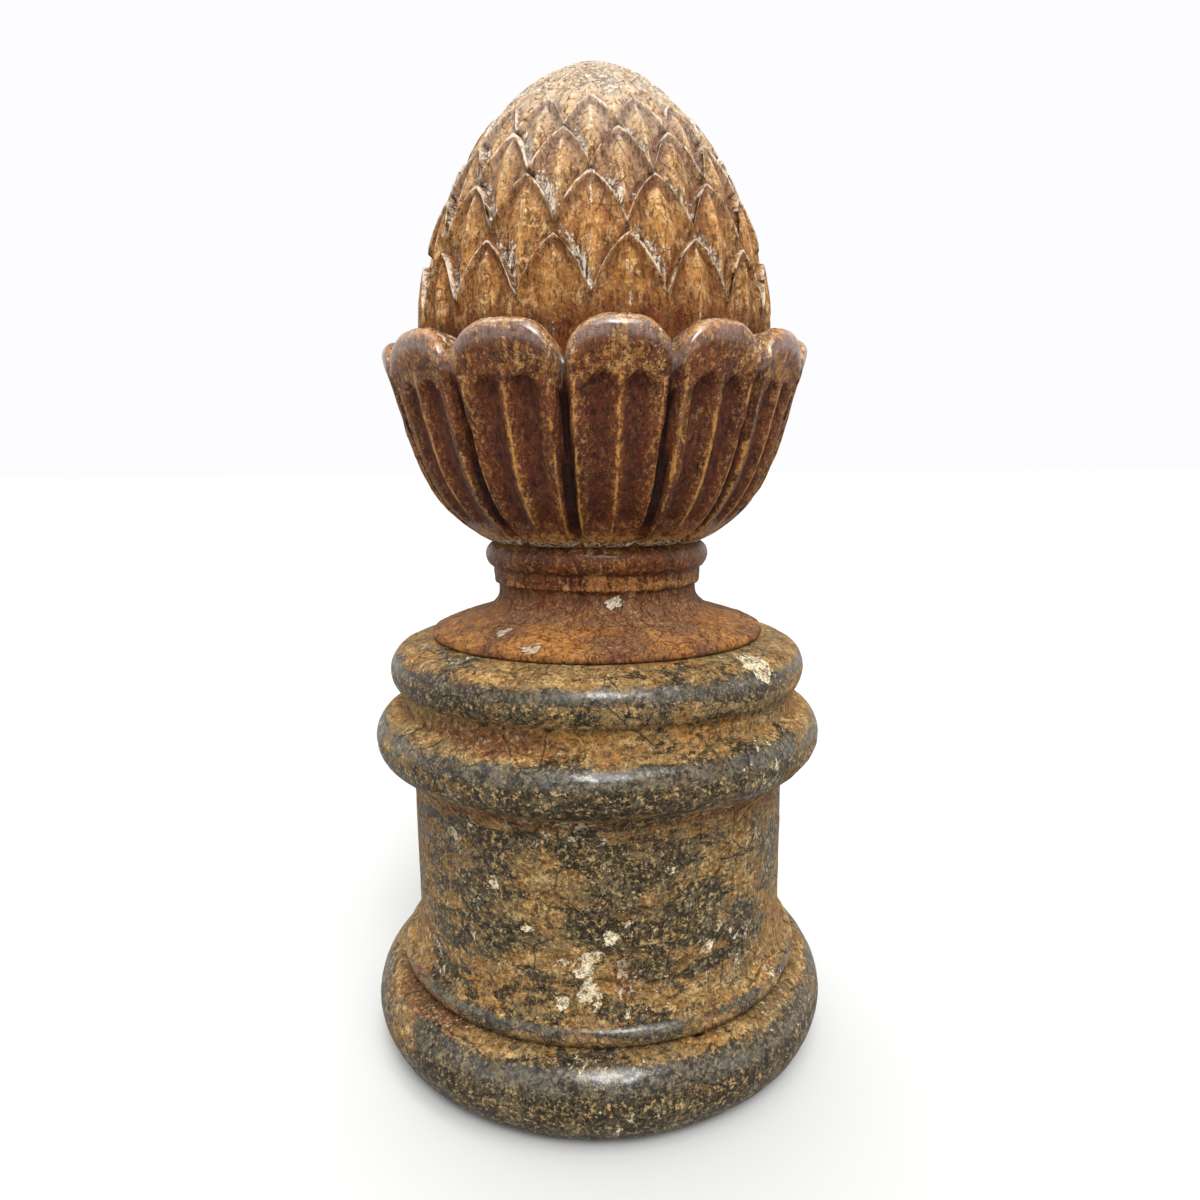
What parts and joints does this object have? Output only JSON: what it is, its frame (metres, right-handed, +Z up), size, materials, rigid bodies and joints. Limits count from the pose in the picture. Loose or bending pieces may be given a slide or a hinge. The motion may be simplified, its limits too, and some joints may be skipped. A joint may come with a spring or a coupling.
{
  "type": "artichoke finial",
  "caption": "Artichoke finial: a cone of overlapping bracts in a cup of rounded petals on a turned neck and foot, standing on a round moulded plinth.",
  "frame": {"origin": "centre of the plinth's flat underside", "axes": "+Z up the finial to its tip, -Y towards the side that the picture shows"},
  "size_m": [0.22, 0.22, 0.4497],
  "materials": {
    "plinth_paint": "satin",
    "finial_paint": "satin"
  },
  "bodies": {
    "root": {"round_plinth": "plinth_paint", "artichoke_finial": "finial_paint"}
  },
  "joints": []
}
